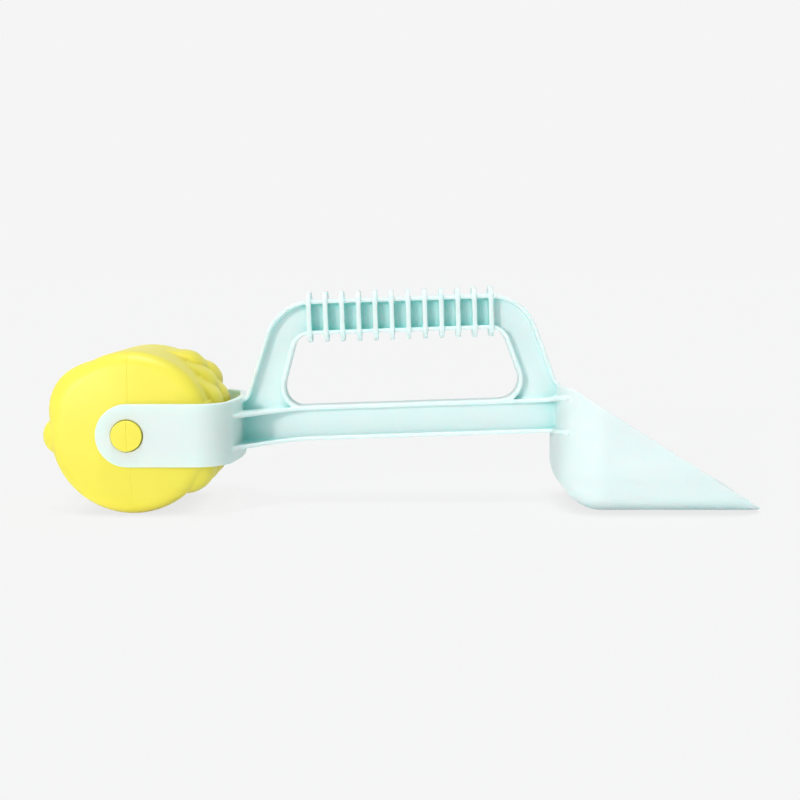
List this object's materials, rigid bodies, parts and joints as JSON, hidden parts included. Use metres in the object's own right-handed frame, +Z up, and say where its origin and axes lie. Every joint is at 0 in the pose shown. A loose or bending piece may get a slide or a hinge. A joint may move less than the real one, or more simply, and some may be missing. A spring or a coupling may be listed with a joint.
{
  "type": "sand roller and scoop toy",
  "caption": "Sand toy with an open scoop on one end, a ribbed D-shaped hand loop on an I-beam, and a hollow turning drum with raised sea motifs in a fork on the other end.",
  "frame": {"origin": "on the ground under the middle of the whole toy, which rests on its drum and on the scoop's flat floor", "axes": "+X from the drum to the scoop's lip, +Y across to the toy's left when facing +X, +Z up"},
  "size_m": [0.3824, 0.0912, 0.1202],
  "materials": {
    "mint_plastic": "satin",
    "yellow_plastic": "satin"
  },
  "bodies": {
    "frame": {"scoop": "mint_plastic", "beam_web": "mint_plastic", "beam_top_flange": "mint_plastic", "beam_bottom_flange": "mint_plastic", "drum_side_leg": "mint_plastic", "scoop_side_leg": "mint_plastic", "grip_bar": "mint_plastic", "grip_ribs": "mint_plastic", "fork_bridge": "mint_plastic", "right_fork_arm": "mint_plastic", "left_fork_arm": "mint_plastic"},
    "roller": {"drum_shell": "yellow_plastic", "right_stub_axle": "yellow_plastic", "left_stub_axle": "yellow_plastic", "scale_relief": "yellow_plastic", "scallop_relief": "yellow_plastic", "starfish_relief": "yellow_plastic", "bubble_relief": "yellow_plastic"}
  },
  "joints": [
    {"name": "roller_spin", "type": "hinge", "parent": "frame", "child": "roller", "pos_m": [-0.143, 0, 0.04325], "axis": [0, 1, 0], "continuous": true}
  ]
}
